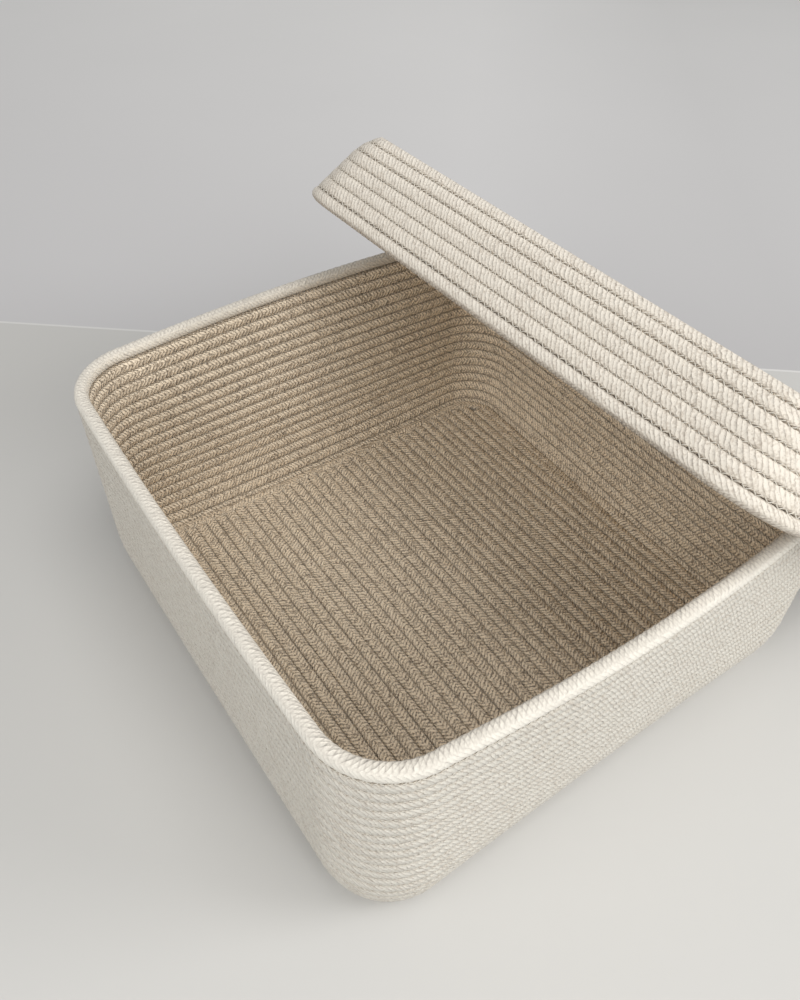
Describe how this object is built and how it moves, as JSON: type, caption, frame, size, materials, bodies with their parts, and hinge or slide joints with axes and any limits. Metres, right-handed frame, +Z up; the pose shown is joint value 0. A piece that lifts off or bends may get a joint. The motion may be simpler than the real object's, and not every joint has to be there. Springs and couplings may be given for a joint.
{
  "type": "lidded storage basket",
  "caption": "Square storage basket for knitting, coiled from sewn cotton cord, with a shallow loose lid that leans on its rim.",
  "frame": {"origin": "on the floor under the middle of the basket", "axes": "+Z up; +X towards the wall that carries the leaning lid; +Y along that wall"},
  "size_m": [0.3785, 0.2906, 0.1931],
  "materials": {
    "basket_cotton": "matt natural cotton cord",
    "lid_cotton": "matt natural cotton cord"
  },
  "bodies": {
    "basket": {"base_panel": "basket_cotton", "wall_coil": "basket_cotton"},
    "lid": {"lid_panel": "lid_cotton", "lid_coil": "lid_cotton"}
  },
  "joints": [
    {"name": "lid_lift", "type": "slide", "parent": "basket", "child": "lid", "axis": [0, 0, 1], "range_m": [0, 0.2]}
  ]
}
